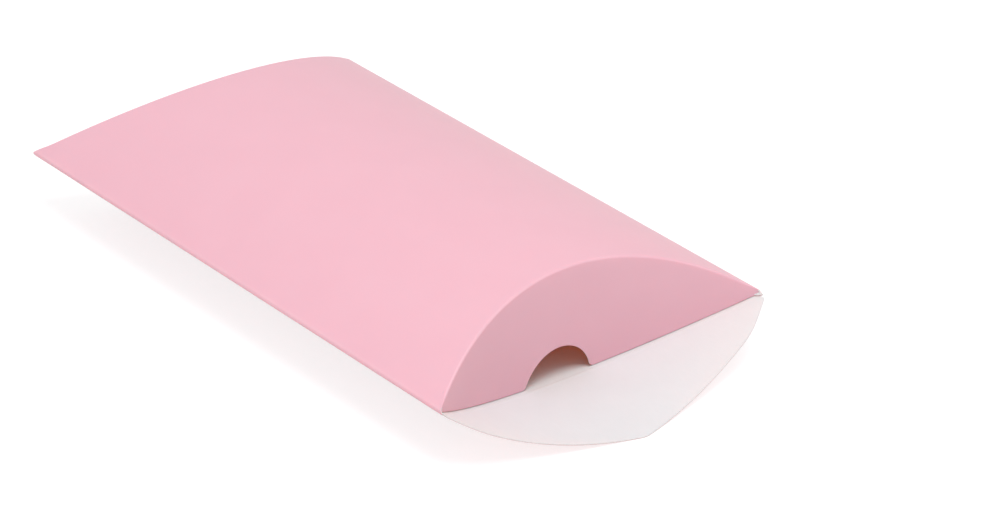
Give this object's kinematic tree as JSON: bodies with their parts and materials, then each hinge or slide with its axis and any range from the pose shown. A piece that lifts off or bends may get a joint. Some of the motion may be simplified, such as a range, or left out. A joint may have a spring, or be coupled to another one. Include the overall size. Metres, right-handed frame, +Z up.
{
  "type": "pillow box",
  "caption": "Card pillow box: a bowed sleeve folded and glued along one side, with curved end flaps that pop in to close it, a thumb notch, and the lower front flap left open.",
  "frame": {"origin": "on the line that the box rests on, under the middle of the sleeve", "axes": "+Z up, +Y along the sleeve from the half-open front end to the closed rear end, +X towards the glued side"},
  "size_m": [0.165, 0.2754, 0.05],
  "materials": {
    "coated_card": "smooth card, pale pink satin coating outside, uncoated white inside",
    "dried_glue": "thin film of dried glue"
  },
  "bodies": {
    "sleeve": {"top_panel": "coated_card", "bottom_panel": "coated_card", "left_fold": "coated_card", "seam_fold": "coated_card", "glue_tab": "coated_card", "glue_line": "dried_glue"},
    "front_top_flap": {"front_top_flap": "coated_card"},
    "front_bottom_flap": {"front_bottom_flap": "coated_card"},
    "rear_top_flap": {"rear_top_flap": "coated_card"},
    "rear_bottom_flap": {"rear_bottom_flap": "coated_card"}
  },
  "joints": [
    {"name": "front_top_crease", "type": "hinge", "parent": "sleeve", "child": "front_top_flap", "pos_m": [0, -0.1, 0.05], "axis": [-1, 0, 0], "range_deg": [0, 91]},
    {"name": "front_bottom_crease", "type": "hinge", "parent": "sleeve", "child": "front_bottom_flap", "pos_m": [0, -0.10075, 0], "axis": [-1, 0, 0], "range_deg": [0, 89.5], "deforming": ["front_bottom_flap"]},
    {"name": "rear_top_crease", "type": "hinge", "parent": "sleeve", "child": "rear_top_flap", "pos_m": [0, 0.10075, 0.05], "axis": [1, 0, 0], "range_deg": [0, 89.5]},
    {"name": "rear_bottom_crease", "type": "hinge", "parent": "sleeve", "child": "rear_bottom_flap", "pos_m": [0, 0.1, 0], "axis": [-1, 0, 0], "range_deg": [0, 91], "deforming": ["rear_bottom_flap"]}
  ]
}
